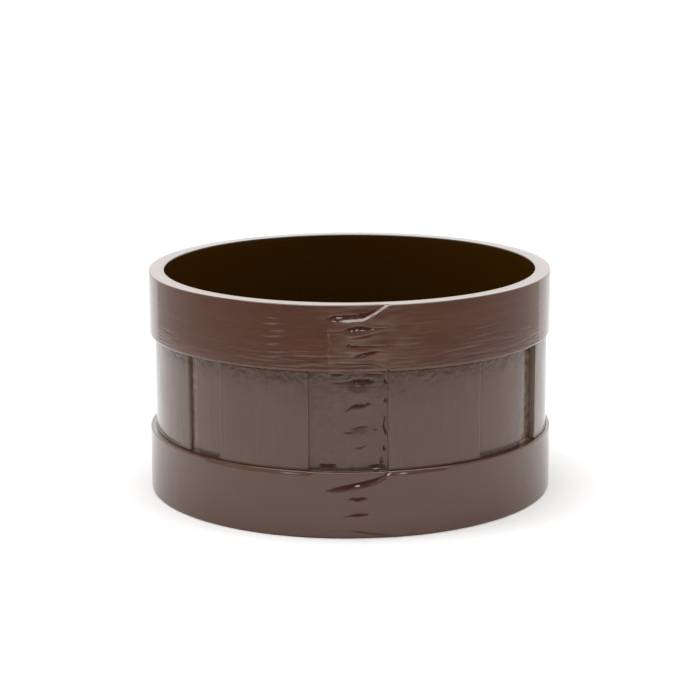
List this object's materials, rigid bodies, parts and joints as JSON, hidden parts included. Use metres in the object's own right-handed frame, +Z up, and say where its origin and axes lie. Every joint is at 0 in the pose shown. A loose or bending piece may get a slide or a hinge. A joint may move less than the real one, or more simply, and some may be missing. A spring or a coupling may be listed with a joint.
{
  "type": "bentwood tea ceremony vessel",
  "caption": "Low, wide, open round vessel of dark lacquered bentwood, with bark-stitched hoops at rim and foot and flat slats applied between them.",
  "frame": {"origin": "on the vessel's axis, on the surface it stands on", "axes": "+Z up along the vessel's axis, -Y towards the stitched seams"},
  "size_m": [0.1458, 0.1462, 0.08],
  "materials": {
    "lacquered_hoop": "dark red-brown wiped lacquer, semi-gloss, wavy grain just showing",
    "lacquered_wall": "dark brown lacquer, semi-gloss outside, deep brown-black inside",
    "lacquered_slat": "greyer satin brown lacquer over upright grain",
    "lacquered_board": "dark brown lacquer",
    "lacquered_bark": "bark strap under glossy red-brown lacquer",
    "peg_wood": "bare split wood"
  },
  "bodies": {
    "root": {"base_board": "lacquered_board", "base_pegs": "peg_wood", "bottom_hoop": "lacquered_hoop", "bottom_hoop_bark_lacing": "lacquered_bark", "core_wall": "lacquered_wall", "core_wall_bark_lacing": "lacquered_bark", "inner_slat_1": "lacquered_slat", "inner_slat_2": "lacquered_slat", "inner_slat_3": "lacquered_slat", "inner_slat_4": "lacquered_slat", "inner_slat_5": "lacquered_slat", "inner_slat_6": "lacquered_slat", "outer_slat_1": "lacquered_slat", "outer_slat_2": "lacquered_slat", "outer_slat_3": "lacquered_slat", "outer_slat_4": "lacquered_slat", "outer_slat_5": "lacquered_slat", "outer_slat_6": "lacquered_slat", "outer_slat_7": "lacquered_slat", "top_hoop": "lacquered_hoop", "top_hoop_bark_lacing": "lacquered_bark"}
  },
  "joints": []
}
